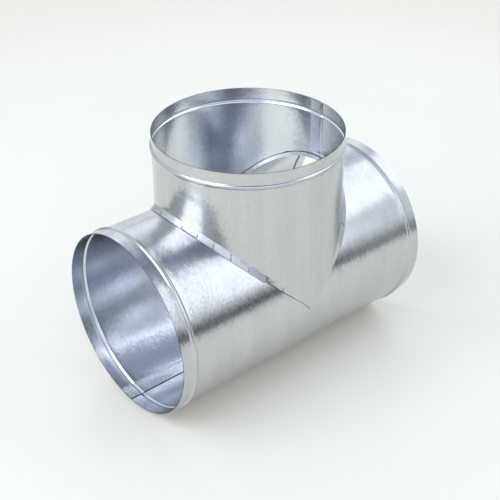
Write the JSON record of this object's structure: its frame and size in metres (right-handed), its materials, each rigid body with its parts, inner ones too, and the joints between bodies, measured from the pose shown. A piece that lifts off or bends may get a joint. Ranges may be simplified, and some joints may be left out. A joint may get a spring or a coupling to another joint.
{
  "type": "round duct tee",
  "caption": "Equal round duct tee in galvanised sheet: a straight run and a branch at right angles, joined by a tabbed saddle flange, with a rolled bead near each open end.",
  "frame": {"origin": "below the crossing of the two axes, level with the lowest point of the run's beads", "axes": "+X along the run, +Z along the branch towards its rim, +Y towards the back"},
  "size_m": [0.25, 0.1528, 0.2044],
  "materials": {
    "galvanised_steel": "hot-dip galvanised sheet, fine spangle, semi-gloss"
  },
  "bodies": {
    "root": {"run_tube": "galvanised_steel", "branch_collar": "galvanised_steel"}
  },
  "joints": []
}
